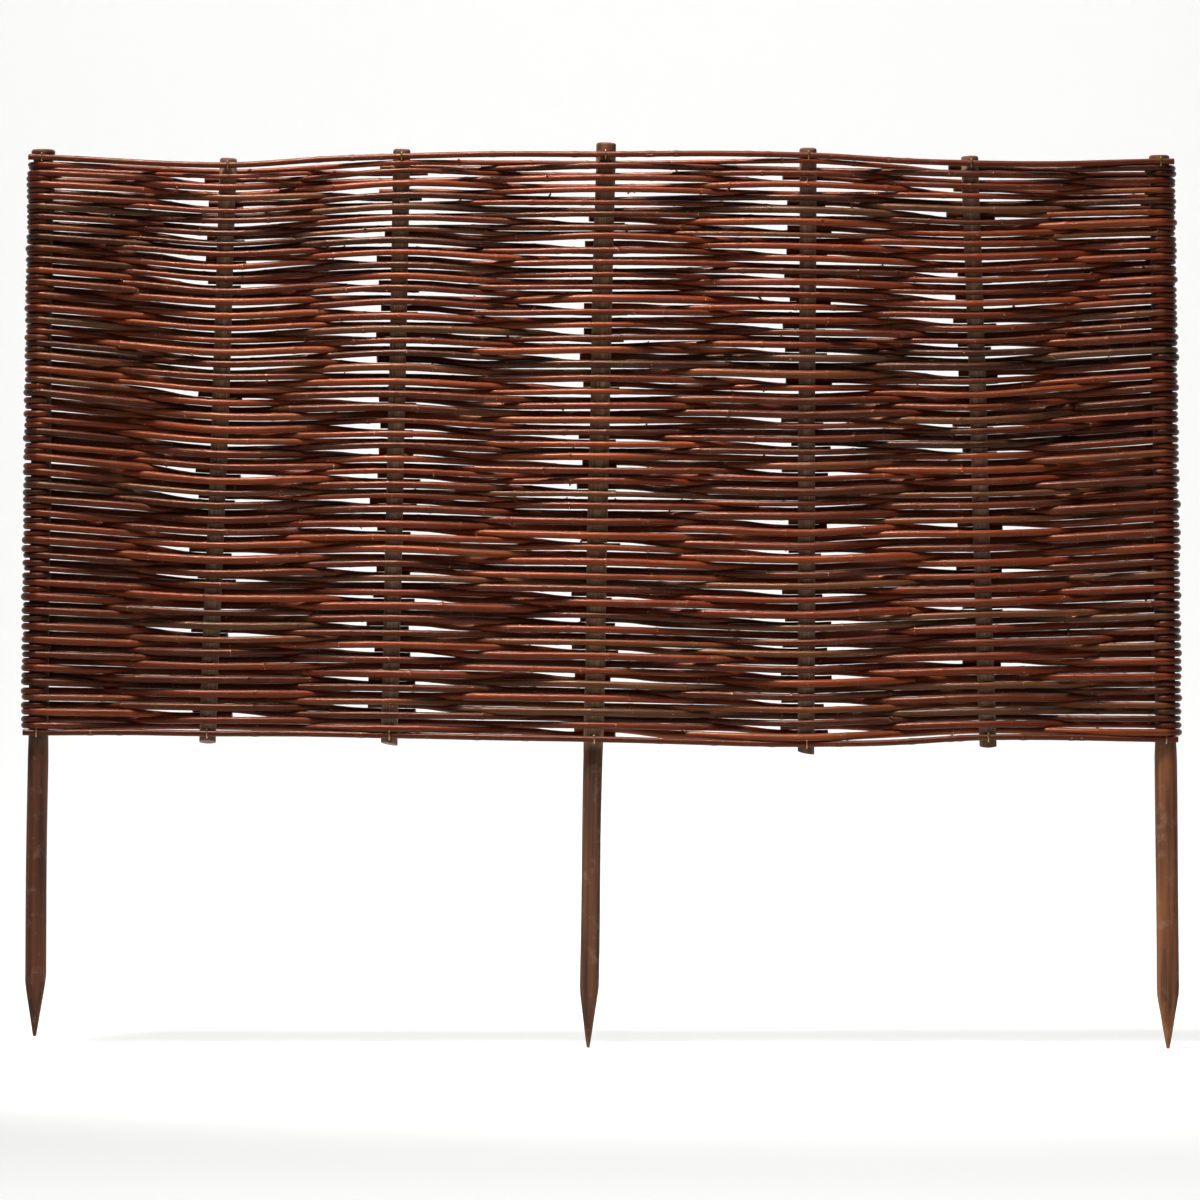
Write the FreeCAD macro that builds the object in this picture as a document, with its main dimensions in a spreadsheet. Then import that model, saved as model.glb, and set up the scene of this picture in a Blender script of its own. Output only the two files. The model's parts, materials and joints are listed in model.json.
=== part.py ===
import FreeCAD, Part
import Sketcher
import math
import os
from FreeCAD import Placement, Rotation, Vector

# Woven willow hurdle. Millimetres, +Z up, the front faces -Y. The origin is the point
# where the axis of the centre stake meets the ground line, under the lowest rod.

SIZES = [
    # How far each upright stands from the origin, along X: at the ground line and at its top rod.
    ("left_foot", 577, "stake on the left, at the ground line, towards -X"),
    ("left_head", 571, "the same stake at the top rod"),
    ("centre_head", 12, "lean of the centre stake at the top rod"),
    ("right_foot", 592, "stake on the right, at the ground line"),
    ("right_head", 586, "the same stake at the top rod"),
    ("first_foot", 402, "first sail from the left, at the ground line, towards -X"),
    ("first_head", 379, "the same sail at the top rod"),
    ("second_foot", 212, "second sail, towards -X"),
    ("second_head", 199, "the same sail at the top rod"),
    ("third_foot", 220, "third sail"),
    ("third_head", 222, "the same sail at the top rod"),
    ("fourth_foot", 408, "fourth sail"),
    ("fourth_head", 390, "the same sail at the top rod"),
    # Heights of the two binding rods at each upright, from their axes to the ground line.
    ("left_bottom", 13, "bottom rod at the left stake"),
    ("first_bottom", 12, "bottom rod at the first sail"),
    ("second_bottom", 10, "bottom rod at the second sail"),
    ("centre_bottom", 6, "bottom rod at the centre stake"),
    ("third_bottom", 1, "bottom rod at the third sail"),
    ("fourth_bottom", 8, "bottom rod at the fourth sail"),
    ("right_bottom", 6, "bottom rod at the right stake"),
    ("left_top", 608, "top rod at the left stake"),
    ("first_top", 600, "top rod at the first sail"),
    ("second_top", 609, "top rod at the second sail"),
    ("centre_top", 611, "top rod at the centre stake"),
    ("third_top", 610, "top rod at the third sail"),
    ("fourth_top", 602, "top rod at the fourth sail"),
    ("right_top", 603.5, "top rod at the right stake"),
    # Long pointed stakes: heads over their top rods, legs under the ground line.
    ("left_rise", 9, "head of the left stake over its top rod"),
    ("centre_rise", 13, "head of the centre stake over its top rod"),
    ("right_rise", 7.5, "head of the right stake over its top rod"),
    ("left_leg", 242, "straight leg of the left stake"),
    ("centre_leg", 254, "straight leg of the centre stake"),
    ("right_leg", 255, "straight leg of the right stake"),
    ("left_leg_width", 21.8, "diameter of the left leg"),
    ("centre_leg_width", 19.6, "diameter of the centre leg"),
    ("right_leg_width", 23.2, "diameter of the right leg"),
    ("left_head_width", 20.8, "diameter of the left stake in the weave"),
    ("centre_head_width", 20.8, "diameter of the centre stake in the weave"),
    ("right_head_width", 21.2, "diameter of the right stake in the weave"),
    ("point_length", 60, "hewn point under each leg"),
    ("point_width", 3.2, "blunt end of the point, across flats"),
    ("head_bevel", 2.5, "bevel round the head of a stake"),
    # Short uprights that end in the weave.
    ("sail_rise", 8.5, "head of a sail over its top rod"),
    ("sail_drop", 9, "foot of a sail under its bottom rod"),
    ("sail_width", 17.6, "diameter of a sail"),
    ("sail_bevel", 1.5, "bevel round the head of a sail"),
    # Woven rods.
    ("rod_width", 5.9, "willow rod, across its corners"),
    ("rod_fit", 0.25, "space between a rod and an upright"),
    ("course_gap", 0.45, "least space between the courses of the close weave"),
    ("open_courses", 17, "courses of the open weave at the top"),
    ("open_gap", 1.8, "space between courses of the open weave, half way between uprights"),
    ("open_rise", 1.4, "rise in front of an upright and dip behind it, in the open weave"),
    ("end_lift", 8, "how far the ends of the middle courses ride up"),
    ("rod_end", 14, "end of a rod past the axis of an end stake"),
    # Binding rods along the front, each held by a staple at every upright.
    ("binding_step", 9.5, "from a binding rod to the next course, at the centre stake"),
    ("staple_wire", 1.3, "square wire of a staple"),
    ("staple_bite", 7, "how far a staple's legs go into the upright"),
    ("staple_fit", 0.15, "space round a staple"),
]

WEAVE_SIDES = 5
BINDING_SIDES = 6
TURN_CORNERS = 3
POINT_CUTS = 6
STAKES = ["left", "centre", "right"]
SAILS = ["first", "second", "third", "fourth"]
ACROSS = ["left", "first", "second", "centre", "third", "fourth", "right"]
TOWARDS_MINUS_X = {"left", "first", "second"}

document = FreeCAD.newDocument("hurdle")
sheet = document.addObject("Spreadsheet::Sheet", "sizes")
for row, (alias, value, note) in enumerate(SIZES, start=1):
    sheet.set(f"A{row}", note)
    sheet.set(f"B{row}", str(value))
    sheet.setAlias(f"B{row}", alias)
document.recompute()


def size(alias):
    """The value of a named cell."""
    return float(sheet.get(alias))


def foot_x(name):
    """X of an upright's axis at the ground line."""
    if name == "centre":
        return 0.0
    return -size(name + "_foot") if name in TOWARDS_MINUS_X else size(name + "_foot")


def head_x(name):
    """X of an upright's axis at the top rod."""
    return -size(name + "_head") if name in TOWARDS_MINUS_X else size(name + "_head")


def axis_x(name, height):
    """X of an upright's axis at a height over the ground line."""
    return foot_x(name) + (head_x(name) - foot_x(name)) * height / size(name + "_top")


def upright_radius(name):
    """Radius of an upright within the weave."""
    return size(name + "_head_width" if name in STAKES else "sail_width") / 2


def origin_plane(body, role):
    """One of a body's own base planes or axes."""
    return next(item for item in body.Origin.OriginFeatures if item.Role == role)


def bound_sketch(body, name, role, outline):
    """A closed outline on one of a body's base planes, its corners given as pairs of expressions."""
    sketch = body.newObject("Sketcher::SketchObject", name)
    sketch.AttachmentSupport = [(origin_plane(body, role), "")]
    sketch.MapMode = "FlatFace"
    corners = []
    for across, up in outline:
        corners.append(Vector(float(sheet.evalExpression(across)), float(sheet.evalExpression(up)), 0))
    count = len(corners)
    for index in range(count):
        sketch.addGeometry(Part.LineSegment(corners[index], corners[(index + 1) % count]), False)
    for index in range(count):
        sketch.addConstraint(Sketcher.Constraint("Coincident", index, 2, (index + 1) % count, 1))
    for index, (across, up) in enumerate(outline):
        bind_corner(sketch, index, "DistanceX", across, corners[index].x)
        bind_corner(sketch, index, "DistanceY", up, corners[index].y)
    sketch.Visibility = False
    return sketch


def bind_corner(sketch, index, kind, expression, value):
    """Ties one coordinate of a corner to an expression; one that is less than zero starts with a minus."""
    if expression == "0":
        axis = -2 if kind == "DistanceX" else -1
        sketch.addConstraint(Sketcher.Constraint("PointOnObject", index, 1, axis))
        return
    ends = (-1, 1, index, 1) if value > 0 else (index, 1, -1, 1)
    datum = sketch.addConstraint(Sketcher.Constraint(kind, *ends, abs(value)))
    sketch.setExpression(f"Constraints[{datum}]", expression.lstrip("-"))


def turned_body(name, profile):
    """A body turned about its own Z from corners given as pairs of expressions: radius, height."""
    body = document.addObject("PartDesign::Body", name + "_turned")
    sketch = bound_sketch(body, name + "_profile", "XZ_Plane", profile)
    turned = body.newObject("PartDesign::Revolution", name + "_turn")
    turned.Profile = sketch
    turned.ReferenceAxis = (sketch, ["V_Axis"])
    turned.Angle = 360
    return body


def hew_point(body, name):
    """Flat cuts round the foot of a stake, from the full leg down to the blunt end."""
    beyond = f"(sizes.{name}_leg_width * 0.6)"
    blunt = "(sizes.point_width / 2)"
    run_out = f"sizes.point_length * ({beyond} - {blunt}) / (sizes.{name}_leg_width / 2 - {blunt})"
    outline = [(blunt, "0"), (beyond, run_out), (beyond, "0")]
    cut = body.newObject("PartDesign::Pocket", name + "_cut")
    cut.Profile = bound_sketch(body, name + "_cut_profile", "XZ_Plane", outline)
    cut.Type = "ThroughAll"
    cut.Midplane = True
    point = body.newObject("PartDesign::PolarPattern", name + "_point")
    point.Originals = [cut]
    point.Axis = (origin_plane(body, "Z_Axis"), [""])
    point.Angle = 360
    point.Occurrences = POINT_CUTS
    body.Tip = point


def stand(body, name, below):
    """Places a turned body on its leaning axis, its own origin that far below the ground line."""
    lean = math.degrees(math.atan2(head_x(name) - foot_x(name), size(name + "_top")))
    turn = Rotation(Vector(0, 1, 0), lean)
    body.Placement = Placement(Vector(foot_x(name), 0, 0) + turn.multVec(Vector(0, 0, -below)), turn)


def stake_body(name):
    """A long stake: bevelled head, woven stretch, straight leg and hewn point."""
    ground = f"sizes.point_length + sizes.{name}_leg"
    head = f"{ground} + sizes.{name}_top + sizes.{name}_rise"
    leg = f"sizes.{name}_leg_width / 2"
    top = f"sizes.{name}_head_width / 2"
    profile = [
        ("0", "0"),
        (leg, "0"),
        (leg, ground),
        (top, ground),
        (top, f"{head} - sizes.head_bevel"),
        (f"{top} - sizes.head_bevel", head),
        ("0", head),
    ]
    body = turned_body(name, profile)
    hew_point(body, name)
    stand(body, name, size("point_length") + size(name + "_leg"))
    return body


def sail_body(name):
    """A short upright: sawn foot and bevelled head."""
    head = f"(sizes.{name}_top + sizes.sail_rise - sizes.{name}_bottom + sizes.sail_drop)"
    top = "sizes.sail_width / 2"
    profile = [
        ("0", "0"),
        (top, "0"),
        (top, f"{head} - sizes.sail_bevel"),
        (f"{top} - sizes.sail_bevel", head),
        ("0", head),
    ]
    body = turned_body(name, profile)
    stand(body, name, size("sail_drop") - size(name + "_bottom"))
    return body


def rod_reach(name):
    """From an upright's axis to the axis of a rod that passes it."""
    return upright_radius(name) + size("rod_width") / 2 + size("rod_fit")


def course_shares():
    """Where the woven courses lie between the binding rods, close below and open at the top."""
    lowest = size("centre_bottom") + size("binding_step")
    highest = size("centre_top") - size("binding_step")
    open_pitch = size("rod_width") + size("open_gap")
    open_count = int(size("open_courses"))
    close_height = highest - lowest - open_count * open_pitch
    close_count = int(close_height // (size("rod_width") + size("course_gap")))
    close_pitch = close_height / close_count
    heights = [lowest + close_pitch * step for step in range(close_count + 1)]
    heights += [highest - open_pitch * step for step in range(open_count - 1, -1, -1)]
    span = size("centre_top") - size("centre_bottom")
    return [(height - size("centre_bottom")) / span for height in heights], close_count + 1


def course_height(name, share):
    """Height of a course at an upright, that share of the way between its binding rods."""
    return size(name + "_bottom") + share * (size(name + "_top") - size(name + "_bottom"))


def lifted(name, share):
    """Height of a course at an end stake, where the middle courses ride up."""
    return course_height(name, share) + size("end_lift") * math.sin(math.pi * share)


def passing_point(position, share, front, shift):
    """Where a course passes an inner upright, clear of it on both slopes."""
    name = ACROSS[position]
    height = course_height(name, share)
    reach = rod_reach(name)
    steepest = 0.0
    for neighbour in (ACROSS[position - 1], ACROSS[position + 1]):
        bay = abs(axis_x(neighbour, height) - axis_x(name, height))
        steepest = max(steepest, (reach + rod_reach(neighbour)) / bay)
    depth = reach * math.hypot(1, steepest)
    return Vector(axis_x(name, height), -depth if front else depth, height + (shift if front else -shift))


def end_slope(name, inner, height):
    """Angle in plan of a course that runs from an inner upright to touch the far side of an end stake."""
    across = abs(axis_x(name, height) - inner.x)
    return math.atan2(abs(inner.y), across) + math.asin(rod_reach(name) / math.hypot(across, inner.y))


def cut_end(name, inner, height):
    """End of a rod that runs straight on past an end stake."""
    outward = 1 if name == "right" else -1
    side = -1 if inner.y > 0 else 1
    slope = end_slope(name, inner, height)
    along = size("rod_end")
    out = along * math.cos(slope) - rod_reach(name) * math.sin(slope)
    depth = along * math.sin(slope) + rod_reach(name) * math.cos(slope)
    return Vector(axis_x(name, height) + outward * out, side * depth, height)


def turn_points(name, inner, start, finish, front):
    """Corners of the turn round an end stake, from one course up to the next."""
    middle = axis_x(name, (start + finish) / 2)
    outward = 1 if name == "right" else -1
    reach = rod_reach(name)
    slope = end_slope(name, inner, (start + finish) / 2)
    step = (math.pi + 2 * slope) / TURN_CORNERS
    corner = reach / math.cos(step / 2)
    side = -1 if front else 1
    points = []
    for index in range(TURN_CORNERS):
        angle = math.pi / 2 + slope - (index + 0.5) * step
        rise = (finish - start) * (index + 0.5) / TURN_CORNERS
        x = middle + outward * corner * math.cos(angle)
        points.append(Vector(x, side * corner * math.sin(angle), start + rise))
    return points


def weave_path():
    """Corners of the weave: each course turns round the end stake into the next one up."""
    shares, first_open = course_shares()
    last = len(ACROSS) - 1
    points = []
    for course, share in enumerate(shares):
        shift = size("open_rise") if course >= first_open else 0.0
        rightward = course % 2 == 0
        inner = range(1, last) if rightward else range(last - 1, 0, -1)
        end = "right" if rightward else "left"
        passes = [passing_point(position, share, (position + course) % 2 == 0, shift) for position in inner]
        if course == 0:
            points.append(cut_end("left", passes[0], lifted("left", share)))
        points += passes
        if course + 1 < len(shares):
            next_height = lifted(end, shares[course + 1])
            points += turn_points(end, points[-1], lifted(end, share), next_height, rightward)
        else:
            points.append(cut_end(end, points[-1], lifted(end, share)))
    return points


def binding_path(edge):
    """Corners of a binding rod, in front of every upright and past both end stakes."""
    points = []
    for name in ACROSS:
        height = size(f"{name}_{edge}")
        points.append(Vector(axis_x(name, height), -rod_reach(name), height))
    points[0] += (points[0] - points[1]).normalize() * size("rod_end")
    points[-1] += (points[-1] - points[-2]).normalize() * size("rod_end")
    return points


def rod(name, corners, sides, bends):
    """A willow rod swept along its corners, mitred at sharp bends or carried through slight ones."""
    path = document.addObject("Part::Feature", name + "_path")
    path.Shape = Part.makePolygon(corners)
    section = document.addObject("Part::RegularPolygon", name + "_section")
    section.Polygon = sides
    section.setExpression("Circumradius", "sizes.rod_width / 2")
    heading = corners[1] - corners[0]
    flat_front = Rotation(Vector(0, 0, 1), 180 / sides)
    section.Placement = Placement(corners[0], Rotation(Vector(), Vector(0, 0, 1), heading, "ZYX") * flat_front)
    swept = document.addObject("Part::Sweep", name)
    swept.Sections = [section]
    swept.Spine = path
    swept.Solid = True
    swept.Frenet = False
    swept.Transition = bends
    return swept


def staple_body():
    """One staple about the binding rod's axis: an upright crown in front, two legs into the wood."""
    leg_inside = "(sizes.rod_width / 2 + sizes.staple_fit)"
    leg_outside = f"({leg_inside} + sizes.staple_wire)"
    crown_inside = f"(sizes.rod_width / 2 * cos({180 / BINDING_SIDES} deg) + sizes.staple_fit)"
    crown_outside = f"({crown_inside} + sizes.staple_wire)"
    tip = "(sizes.rod_width / 2 + sizes.rod_fit + sizes.staple_bite)"
    outline = [
        (tip, leg_inside),
        (tip, leg_outside),
        ("-" + crown_outside, leg_outside),
        ("-" + crown_outside, "-" + leg_outside),
        (tip, "-" + leg_outside),
        (tip, "-" + leg_inside),
        ("-" + crown_inside, "-" + leg_inside),
        ("-" + crown_inside, leg_inside),
    ]
    body = document.addObject("PartDesign::Body", "staple")
    pad = body.newObject("PartDesign::Pad", "staple_pad")
    pad.Profile = bound_sketch(body, "staple_profile", "YZ_Plane", outline)
    pad.setExpression("Length", "sizes.staple_wire")
    pad.Midplane = True
    return body


def drilled(body, name, label):
    """The upright with holes for the legs of its two staples."""
    boxes = []
    for rod_height in (size(name + "_bottom"), size(name + "_top")):
        for side in (-1, 1):
            hole = document.addObject("Part::Box", name + "_staple_hole")
            hole.setExpression("Length", "sizes.staple_wire + 2 * sizes.staple_fit")
            hole.setExpression("Height", "sizes.staple_wire + 2 * sizes.staple_fit")
            hole.setExpression("Width", "sizes.staple_bite * 2 + 2 * sizes.staple_fit")
            wide = size("staple_wire") + 2 * size("staple_fit")
            middle = rod_height + side * (size("rod_width") + size("staple_wire") + 2 * size("staple_fit")) / 2
            front = -upright_radius(name) - size("staple_bite")
            corner = Vector(axis_x(name, rod_height) - wide / 2, front, middle - wide / 2)
            hole.Placement = Placement(corner, Rotation())
            boxes.append(hole)
    holes = document.addObject("Part::Compound", name + "_staple_holes")
    holes.Links = boxes
    cut = document.addObject("Part::Cut", label)
    cut.Base = body
    cut.Tool = holes
    return cut


def staple_row(label, edge, pattern):
    """The staples of one binding rod, one at each upright."""
    row = document.addObject("Part::Feature", label)
    copies = []
    for name in ACROSS:
        height = size(f"{name}_{edge}")
        staple = pattern.Shape.copy()
        staple.Placement = Placement(Vector(axis_x(name, height), -rod_reach(name), height), Rotation())
        copies.append(staple)
    row.Shape = Part.makeCompound(copies)
    return row


parts = []
for stake in STAKES:
    parts.append(drilled(stake_body(stake), stake, "stake_" + stake))
for number, sail in enumerate(SAILS, start=1):
    parts.append(drilled(sail_body(sail), sail, f"sail_{number}"))
parts.append(rod("willow_weave", weave_path(), WEAVE_SIDES, "Right corner"))
parts.append(rod("bottom_binding_rod", binding_path("bottom"), BINDING_SIDES, "Transformed"))
parts.append(rod("top_binding_rod", binding_path("top"), BINDING_SIDES, "Transformed"))
pattern = staple_body()
document.recompute()
parts.append(staple_row("bottom_staples", "bottom", pattern))
parts.append(staple_row("top_staples", "top", pattern))
document.recompute()

for item in document.Objects:
    if {"Invalid", "Error"} & set(item.State):
        raise RuntimeError(f"{item.Label} did not build: {item.State}")
for part in parts:
    if part.Shape.isNull() or not part.Shape.isValid():
        raise RuntimeError(f"{part.Label} has no valid shape")

os.makedirs("parts", exist_ok=True)
for part in parts:
    part.Shape.exportStep(f"parts/{part.Label}.step")
    print(part.Label, len(part.Shape.Solids), round(part.Shape.Volume / 1000, 2), "cm3")
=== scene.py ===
"""A woven willow hurdle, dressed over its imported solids.

Separate tapering rods stand for the woven solid and the two binding rods, round poles for
the uprights, and bent wire for the staples. Sizes are in millimetres, in the frame of the
solids: +X to the right, the front faces -Y, +Z up from the ground line.
"""

import json
import logging
import math
from dataclasses import dataclass, field
from enum import Enum

import bpy
import numpy as np
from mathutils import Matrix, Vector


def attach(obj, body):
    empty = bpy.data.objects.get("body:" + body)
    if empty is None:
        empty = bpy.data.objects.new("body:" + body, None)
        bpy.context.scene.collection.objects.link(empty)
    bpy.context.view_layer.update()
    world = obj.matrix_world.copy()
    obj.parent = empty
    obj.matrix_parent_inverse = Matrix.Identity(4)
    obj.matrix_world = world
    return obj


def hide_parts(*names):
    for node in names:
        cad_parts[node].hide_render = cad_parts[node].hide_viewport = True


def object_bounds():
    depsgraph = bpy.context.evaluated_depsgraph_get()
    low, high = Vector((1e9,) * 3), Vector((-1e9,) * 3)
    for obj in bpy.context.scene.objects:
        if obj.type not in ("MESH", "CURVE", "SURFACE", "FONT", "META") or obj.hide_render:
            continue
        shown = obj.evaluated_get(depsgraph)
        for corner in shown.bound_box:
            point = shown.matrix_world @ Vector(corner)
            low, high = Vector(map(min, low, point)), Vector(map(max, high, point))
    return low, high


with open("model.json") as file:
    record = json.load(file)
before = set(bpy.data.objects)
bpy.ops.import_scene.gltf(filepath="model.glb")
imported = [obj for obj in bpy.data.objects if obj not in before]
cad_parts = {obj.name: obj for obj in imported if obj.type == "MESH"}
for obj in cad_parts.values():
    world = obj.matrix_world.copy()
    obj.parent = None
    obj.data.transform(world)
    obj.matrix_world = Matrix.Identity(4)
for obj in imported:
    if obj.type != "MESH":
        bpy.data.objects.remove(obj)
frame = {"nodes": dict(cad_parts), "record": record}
CAD_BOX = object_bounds()

LOG = logging.getLogger("hurdle")
MM = 0.001
MIXED_COLOUR = 2  # place of the colour among the outputs of a Mix node
ACROSS = ("stake_left", "sail_1", "sail_2", "stake_centre", "sail_3", "sail_4", "stake_right")
SPIKES = {"stake_left": "left_spike", "stake_centre": "centre_spike", "stake_right": "right_spike"}


class Face(Enum):
    """The side of an upright that a rod passes."""

    FRONT = -1
    BACK = 1


class Slot(Enum):
    """The record's material slots."""

    UPRIGHT = "upright_wood"
    BARK = "willow_bark"
    STEEL = "staple_steel"


def add(tree: bpy.types.NodeTree, kind: str, inputs: dict | None = None, **settings) -> bpy.types.Node:
    """Adds a node with its settings, and sets or links its inputs.

    Args:
        tree: The tree that gets the node.
        kind: Blender's name for the node's type.
        inputs: Socket identifiers, each with a value or with the output socket to link from.
        settings: The node's own properties.

    Returns:
        The new node.
    """
    node = tree.nodes.new(kind)
    for name, value in settings.items():
        setattr(node, name, value)
    for key, value in (inputs or {}).items():
        socket = next(item for item in node.inputs if item.identifier == key)
        if isinstance(value, bpy.types.NodeSocket):
            tree.links.new(value, socket)
        else:
            socket.default_value = value
    return node


def linear(colour: str) -> tuple[float, float, float, float]:
    """Turns an sRGB hex colour to linear light.

    Args:
        colour: Six hex digits after a hash sign.

    Returns:
        Red, green, blue and alpha.
    """
    shares = [int(colour[at:at + 2], 16) / 255 for at in (1, 3, 5)]
    light = [share / 12.92 if share <= 0.04045 else ((share + 0.055) / 1.055) ** 2.4 for share in shares]
    return (*light, 1.0)


def blank_material(name: str) -> tuple[bpy.types.Material, bpy.types.NodeTree]:
    """Makes a material with an empty node tree.

    Args:
        name: The material's name.

    Returns:
        The material and its tree.
    """
    material = bpy.data.materials.new(name)
    material.use_nodes = True
    tree = material.node_tree
    tree.nodes.clear()
    return material, tree


def node_points(name: str) -> np.ndarray:
    """Vertices of a CAD node in millimetres.

    Args:
        name: The node.

    Returns:
        An array of points, one row each.
    """
    mesh = frame["nodes"][name].data
    flat = np.empty(len(mesh.vertices) * 3)
    mesh.vertices.foreach_get("co", flat)
    return flat.reshape(-1, 3) / MM


def middle(values: np.ndarray) -> float:
    """Half way between the least and the greatest of some values."""
    return float(values.min() + values.max()) / 2


def smooth_through(stations: np.ndarray, values: np.ndarray, places: np.ndarray) -> np.ndarray:
    """A smooth curve through values at stations.

    Args:
        stations: Rising places along the rod.
        values: What the curve passes through there.
        places: Where the curve is wanted.

    Returns:
        The curve's values at the places.
    """
    slopes = np.gradient(values, stations)
    index = np.clip(np.searchsorted(stations, places) - 1, 0, len(stations) - 2)
    width = stations[index + 1] - stations[index]
    share = (places - stations[index]) / width
    rest = 1 - share
    ends = values[index] * (1 + 2 * share) * rest**2 + values[index + 1] * share**2 * (3 - 2 * share)
    bends = slopes[index] * share * rest**2 - slopes[index + 1] * share**2 * rest
    return ends + bends * width


@dataclass(frozen=True)
class WillowBark:
    """Brown willow steamed in its bark: smooth, waxy skin from dark umber to fox red.

    The eye gets one colour for each rod, faint streaks along it, grey bloom in blotches, small pale
    pores, a pale scar at some buds, and painted shade: darker skin where a rod bends round an end stake.
    """

    name: str = "steamed_willow_bark"
    shades: tuple[tuple[float, str], ...] = (
        (0.00, "#230e08"),
        (0.15, "#371409"),
        (0.35, "#4a1a0a"),
        (0.55, "#58200d"),
        (0.72, "#642a12"),
        (0.84, "#4d2b18"),
        (0.93, "#3f2617"),
        (1.00, "#2d1b12"),
    )
    bloom: str = "#5e4331"
    scar: str = "#b99474"
    sheen: str = "#ffc6a6"
    streak_length: float = 55.0
    streak_width: float = 1.5
    blotch: float = 24.0
    pore: float = 3.4
    grit: float = 2.6
    wrinkle: float = 0.2
    streak_gain: tuple[float, float] = (0.62, 1.4)
    most_bloom: float = 0.25
    most_pores: float = 0.4
    bend_shade: float = 0.4
    roughness: tuple[float, float] = (0.27, 0.48)
    ior: float = 1.35

    def material(self) -> bpy.types.Material:
        """The bark as a material that reads the rod's own grain, tone and knots."""
        material, tree = blank_material(self.name)
        grain = add(tree, "ShaderNodeAttribute", attribute_name="grain").outputs["Vector"]
        tone = add(tree, "ShaderNodeAttribute", attribute_name="tone").outputs["Fac"]
        knot = add(tree, "ShaderNodeAttribute", attribute_name="knot").outputs["Fac"]
        ramp = add(tree, "ShaderNodeValToRGB", {"Fac": tone})
        for place, shade in self.shades[1:-1]:
            ramp.color_ramp.elements.new(place)
        for element, (place, shade) in zip(ramp.color_ramp.elements, self.shades):
            element.position = place
            element.color = linear(shade)
        stretch = (1 / self.streak_length, 1 / self.streak_width, 1 / self.streak_width)
        fibre = add(
            tree,
            "ShaderNodeVectorMath",
            {"Vector": grain, "Vector_001": stretch},
            operation="MULTIPLY",
        )
        streaks = add(tree, "ShaderNodeTexNoise", {"Vector": fibre.outputs[0], "Scale": 1.0, "Detail": 4.0})
        blotches = add(
            tree,
            "ShaderNodeTexNoise",
            {"Vector": grain, "Scale": 1 / self.blotch, "Detail": 5.0, "Roughness": 0.62},
        )
        usual = {"From Min": 0.3, "From Max": 0.7}
        dim, bright = self.streak_gain
        shade_range = {"Value": streaks.outputs["Fac"], "To Min": dim, "To Max": bright, **usual}
        streak_gain = add(tree, "ShaderNodeMapRange", shade_range)
        streaked = add(
            tree,
            "ShaderNodeVectorMath",
            {"Vector": ramp.outputs["Color"], "Scale": streak_gain.outputs[0]},
            operation="SCALE",
        )
        bloom_range = {
            "Value": blotches.outputs["Fac"],
            "From Min": 0.5,
            "From Max": 0.78,
            "To Max": self.most_bloom,
        }
        bloom_share = add(tree, "ShaderNodeMapRange", bloom_range)
        bloomed = add(
            tree,
            "ShaderNodeMix",
            {
                "Factor_Float": bloom_share.outputs[0],
                "A_Color": streaked.outputs[0],
                "B_Color": linear(self.bloom),
            },
            data_type="RGBA",
        )
        # painted shade: where knot is below 0, on a rod's turn round an end stake, the bark colour is
        # darkened
        dark_range = {"Value": knot, "From Min": -1.0, "From Max": 0.0, "To Min": self.bend_shade}
        dark = add(tree, "ShaderNodeMapRange", dark_range)
        shaded = add(
            tree,
            "ShaderNodeVectorMath",
            {"Vector": bloomed.outputs[MIXED_COLOUR], "Scale": dark.outputs[0]},
            operation="SCALE",
        )
        pores = add(tree, "ShaderNodeTexVoronoi", {"Vector": grain, "Scale": 1 / self.pore})
        dots_range = {
            "Value": pores.outputs["Distance"],
            "From Min": 0.1,
            "From Max": 0.2,
            "To Min": 1.0,
            "To Max": 0.0,
        }
        dots = add(tree, "ShaderNodeMapRange", dots_range)
        rare_range = {
            "Value": blotches.outputs["Fac"],
            "From Min": 0.52,
            "From Max": 0.62,
            "To Max": self.most_pores,
        }
        rare = add(tree, "ShaderNodeMapRange", rare_range)
        knot_scar = add(
            tree, "ShaderNodeMapRange", {"Value": streaks.outputs["Fac"], "From Min": 0.6, "From Max": 0.66}
        )
        bud = add(tree, "ShaderNodeMapRange", {"Value": knot, "From Min": 0.74, "From Max": 0.95})
        at_knot = add(
            tree,
            "ShaderNodeMath",
            {"Value": knot_scar.outputs[0], "Value_001": bud.outputs[0]},
            operation="MULTIPLY",
        )
        pored = add(
            tree,
            "ShaderNodeMath",
            {"Value": dots.outputs[0], "Value_001": rare.outputs[0]},
            operation="MULTIPLY",
        )
        pale = add(
            tree,
            "ShaderNodeMath",
            {"Value": at_knot.outputs[0], "Value_001": pored.outputs[0]},
            operation="MAXIMUM",
        )
        colour = add(
            tree,
            "ShaderNodeMix",
            {"Factor_Float": pale.outputs[0], "A_Color": shaded.outputs[0], "B_Color": linear(self.scar)},
            data_type="RGBA",
        )
        low, high = self.roughness
        gloss_range = {"Value": blotches.outputs["Fac"], "To Min": low, "To Max": high, **usual}
        gloss = add(tree, "ShaderNodeMapRange", gloss_range)
        grits = add(tree, "ShaderNodeTexNoise", {"Vector": grain, "Scale": 1 / self.grit, "Detail": 3.0})
        rough_skin = add(
            tree,
            "ShaderNodeMath",
            {"Value": grits.outputs["Fac"], "Value_001": dots.outputs[0]},
            operation="ADD",
        )
        relief = add(
            tree,
            "ShaderNodeMath",
            {"Value": streaks.outputs["Fac"], "Value_001": rough_skin.outputs[0]},
            operation="ADD",
        )
        bump = add(
            tree,
            "ShaderNodeBump",
            {"Height": relief.outputs[0], "Distance": self.wrinkle * MM, "Strength": 0.8},
        )
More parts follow.
